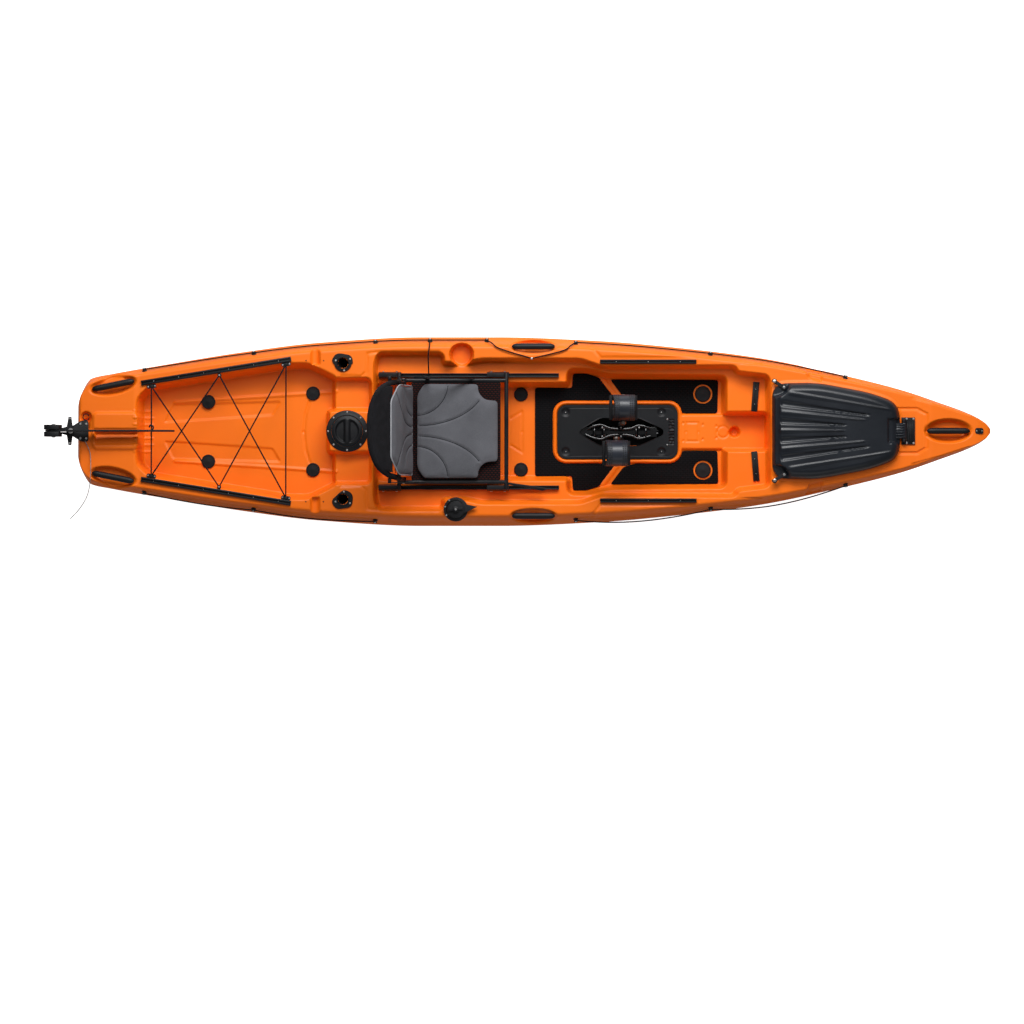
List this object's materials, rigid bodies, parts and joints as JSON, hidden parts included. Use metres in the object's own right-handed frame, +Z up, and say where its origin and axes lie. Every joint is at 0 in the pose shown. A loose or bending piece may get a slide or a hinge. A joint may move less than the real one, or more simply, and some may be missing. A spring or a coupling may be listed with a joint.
{
  "type": "pedal kayak",
  "caption": "Long orange sit-on-top kayak with a slung seat, pedal drive with under-hull fins, flip-up stern rudder, hatches, gear tracks and deck lines.",
  "frame": {"origin": "lowest line of the keel at mid length, on the centre line", "axes": "+X to the bow, +Y to port, +Z up"},
  "size_m": [4.183, 0.842, 1.0102],
  "materials": {
    "orange": "moulded, satin",
    "black": "moulded, fine grain",
    "rubber": "matt",
    "mat": "foam, ribbed",
    "steel": "brushed",
    "frame": "black coated",
    "fabric": "woven",
    "webbing": "webbing",
    "cord": "braided",
    "line": "thin twisted"
  },
  "bodies": {
    "kayak": {"hull_shell": "orange", "deck_shell": "orange", "floor_mat_aft": "mat", "floor_mat_port": "mat", "floor_mat_starboard": "mat", "plug_well_aft_port": "rubber", "plug_well_aft_starboard": "rubber", "plug_well_fore_port": "rubber", "plug_well_fore_starboard": "rubber", "plug_seat_port": "rubber", "plug_seat_starboard": "rubber", "plug_foot_port": "rubber", "plug_foot_starboard": "rubber", "deck_line_port": "cord", "deck_line_aft_starboard": "cord", "deck_line_fore_starboard": "cord", "tank_well_bungee": "cord", "stern_line": "line", "keel_skid": "black", "track_aft_port": "black", "track_aft_starboard": "black", "track_mid_port": "black", "track_mid_starboard": "black", "track_cross_port": "black", "track_cross_starboard": "black", "grip_stern_port": "black", "grip_stern_starboard": "black", "grip_mid_port": "black", "grip_mid_starboard": "black", "grip_bow": "black", "rod_holder_port": "black", "rod_holder_starboard": "black", "hatch_ring": "black", "front_hatch_hinge": "black", "drive_plate": "black", "drive_spine": "black", "seat_rail_port": "black", "seat_rail_starboard": "black", "steering_base": "black", "rudder_bracket": "black"},
    "crank_port": {"crank_port": "steel"},
    "crank_starboard": {"crank_starboard": "steel"},
    "pedal_port": {"pedal_port": "black"},
    "pedal_starboard": {"pedal_starboard": "black"},
    "fin_aft": {"fin_aft": "rubber"},
    "fin_fore": {"fin_fore": "rubber"},
    "hatch_plug": {"hatch_seal": "rubber"},
    "hatch_top": {"hatch_lid": "black"},
    "front_lid": {"front_hatch_lid": "black"},
    "latch_port": {"latch_port": "rubber"},
    "latch_starboard": {"latch_starboard": "rubber"},
    "seat": {"seat_frame": "frame", "seat_pad": "fabric"},
    "seat_back": {"seat_back_frame": "frame", "seat_back_pad": "fabric", "side_strap_port": "webbing", "side_strap_starboard": "webbing"},
    "steering_lever": {"steering_lever": "black"},
    "rudder_head": {"rudder_head": "black"},
    "rudder_blade": {"rudder_blade": "black"}
  },
  "joints": [
    {"name": "crank_port_swing", "type": "hinge", "parent": "kayak", "child": "crank_port", "pos_m": [0.39406, 0, 0.052], "axis": [0, 1, 0], "range_deg": [-28, 28]},
    {"name": "crank_starboard_swing", "type": "hinge", "parent": "kayak", "child": "crank_starboard", "pos_m": [0.39406, 0, 0.052], "axis": [0, 1, 0], "range_deg": [-28, 28]},
    {"name": "pedal_port_turn", "type": "hinge", "parent": "crank_port", "child": "pedal_port", "pos_m": [0.39406, 0, 0.398], "axis": [0, 1, 0], "continuous": true},
    {"name": "pedal_starboard_turn", "type": "hinge", "parent": "crank_starboard", "child": "pedal_starboard", "pos_m": [0.36297, 0, 0.3966], "axis": [0, 1, 0], "continuous": true},
    {"name": "fin_aft_swing", "type": "hinge", "parent": "kayak", "child": "fin_aft", "pos_m": [0.24591, 0, -0.014], "axis": [1, 0, 0], "range_deg": [-56, 56]},
    {"name": "fin_fore_swing", "type": "hinge", "parent": "kayak", "child": "fin_fore", "pos_m": [0.39789, 0, -0.014], "axis": [1, 0, 0], "range_deg": [-56, 56]},
    {"name": "hatch_lift", "type": "slide", "parent": "kayak", "child": "hatch_plug", "axis": [0, 0, 1], "range_m": [0, 0.06]},
    {"name": "hatch_twist", "type": "hinge", "parent": "hatch_plug", "child": "hatch_top", "pos_m": [-0.82701, 0, 0.25528], "axis": [0, 0, 1], "range_deg": [0, 90]},
    {"name": "front_lid_swing", "type": "hinge", "parent": "kayak", "child": "front_lid", "pos_m": [1.64005, 0, 0.3029], "axis": [0, 1, 0], "range_deg": [0, 100]},
    {"name": "latch_port_turn", "type": "hinge", "parent": "front_lid", "child": "latch_port", "pos_m": [1.10808, 0.19299, 0.3109], "axis": [0, 0, -1], "range_deg": [0, 90]},
    {"name": "latch_starboard_turn", "type": "hinge", "parent": "front_lid", "child": "latch_starboard", "pos_m": [1.10808, -0.19299, 0.3109], "axis": [0, 0, 1], "range_deg": [0, 90]},
    {"name": "seat_slide", "type": "slide", "parent": "kayak", "child": "seat", "axis": [1, 0, 0], "range_m": [0, 0.095]},
    {"name": "backrest_fold", "type": "hinge", "parent": "seat", "child": "seat_back", "pos_m": [-0.5751, 0, 0.28807], "axis": [0, 1, 0], "range_deg": [0, 55], "deforming": ["side_strap_port", "side_strap_starboard"]},
    {"name": "steering_lever_turn", "type": "hinge", "parent": "kayak", "child": "steering_lever", "pos_m": [-0.34405, -0.34699, 0.285], "axis": [0, 0, 1], "range_deg": [-54, 54]},
    {"name": "rudder_steer", "type": "hinge", "parent": "kayak", "child": "rudder_head", "pos_m": [-2.046, 0, 0.33], "axis": [0, 0, 1], "range_deg": [-35, 35]},
    {"name": "blade_flip", "type": "hinge", "parent": "rudder_head", "child": "rudder_blade", "pos_m": [-2.118, 0, 0.34094], "axis": [0, -1, 0], "range_deg": [0, 250]}
  ],
  "couplings": [
    {"joint": "crank_starboard_swing", "follows": "crank_port_swing", "ratio": -1},
    {"joint": "fin_aft_swing", "follows": "crank_port_swing", "ratio": 2},
    {"joint": "fin_fore_swing", "follows": "crank_port_swing", "ratio": -2},
    {"joint": "steering_lever_turn", "follows": "rudder_steer", "ratio": 1.5}
  ]
}
